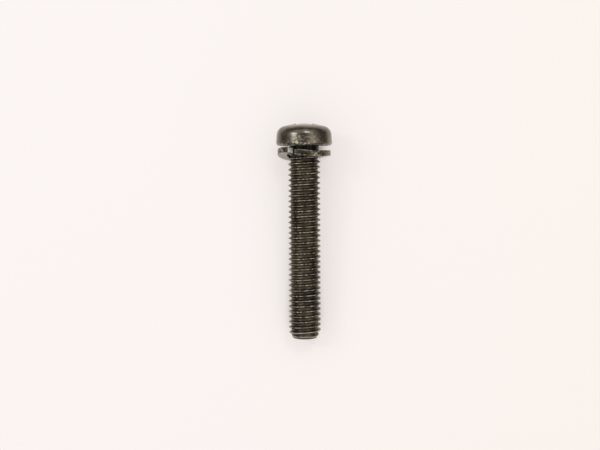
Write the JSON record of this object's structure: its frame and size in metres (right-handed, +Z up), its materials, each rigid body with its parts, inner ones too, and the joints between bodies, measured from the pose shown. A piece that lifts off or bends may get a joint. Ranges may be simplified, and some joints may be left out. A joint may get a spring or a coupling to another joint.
{
  "type": "pan head machine screw with split lock washer",
  "caption": "Pan head machine screw with a cross recess, a thread along its whole shank and a split lock washer loose under its head, lying on its side.",
  "frame": {"origin": "centre of the bounding box in plan, at the height of the flat surface that the screw lies on", "axes": "+Z up; +Y in plan along the screw from its tip to its head; +X to the right as seen from above with the head away from the viewer. The screw's axis rises 3.6 degrees towards the head, because the head's rim and the thread's last crest both touch the surface."},
  "size_m": [0.0084, 0.0328, 0.0085],
  "materials": {
    "black_steel": "thin black conversion coating on steel, satin, worn a little on the crests of the thread",
    "black_spring_steel": "thin black conversion coating on spring steel, satin, bare and bright on the cut end that faces up"
  },
  "bodies": {
    "root": {"screw": "black_steel", "split_lock_washer": "black_spring_steel"}
  },
  "joints": []
}
